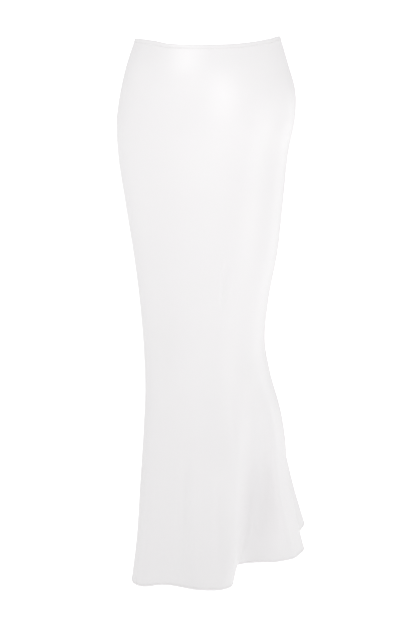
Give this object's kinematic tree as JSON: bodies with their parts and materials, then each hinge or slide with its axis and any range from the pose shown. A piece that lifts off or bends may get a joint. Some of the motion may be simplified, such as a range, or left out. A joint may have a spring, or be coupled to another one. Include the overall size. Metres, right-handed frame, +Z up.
{
  "type": "bias-cut maxi skirt",
  "caption": "Long narrow satin skirt cut on the bias, smooth at the hip and flaring from the knee into soft hem folds, with a narrow waist binding and a concealed side zip.",
  "frame": {"origin": "centre of the waist opening, level with the waist edge at the side seams", "axes": "+Z up along the skirt, away from the hem; the front panel faces -Y; +X is the wearer's left, where the zip is"},
  "size_m": [0.4048, 0.2988, 1.0084],
  "materials": {
    "satin": "soft satin",
    "binding": "soft satin",
    "zip_tape": "matt woven",
    "lacquered_metal": "satin lacquer"
  },
  "bodies": {
    "skirt": {"front_panel": "satin", "back_panel": "satin", "waist_binding": "binding", "zip_tape": "zip_tape", "zip_slider": "lacquered_metal"},
    "pull": {"zip_pull": "lacquered_metal"}
  },
  "joints": [
    {"name": "pull_swing", "type": "hinge", "parent": "skirt", "child": "pull", "pos_m": [0.13434, -0.0129, -0.0147], "axis": [0.1573, -0.9792, 0.128], "range_deg": [0, 165]}
  ]
}
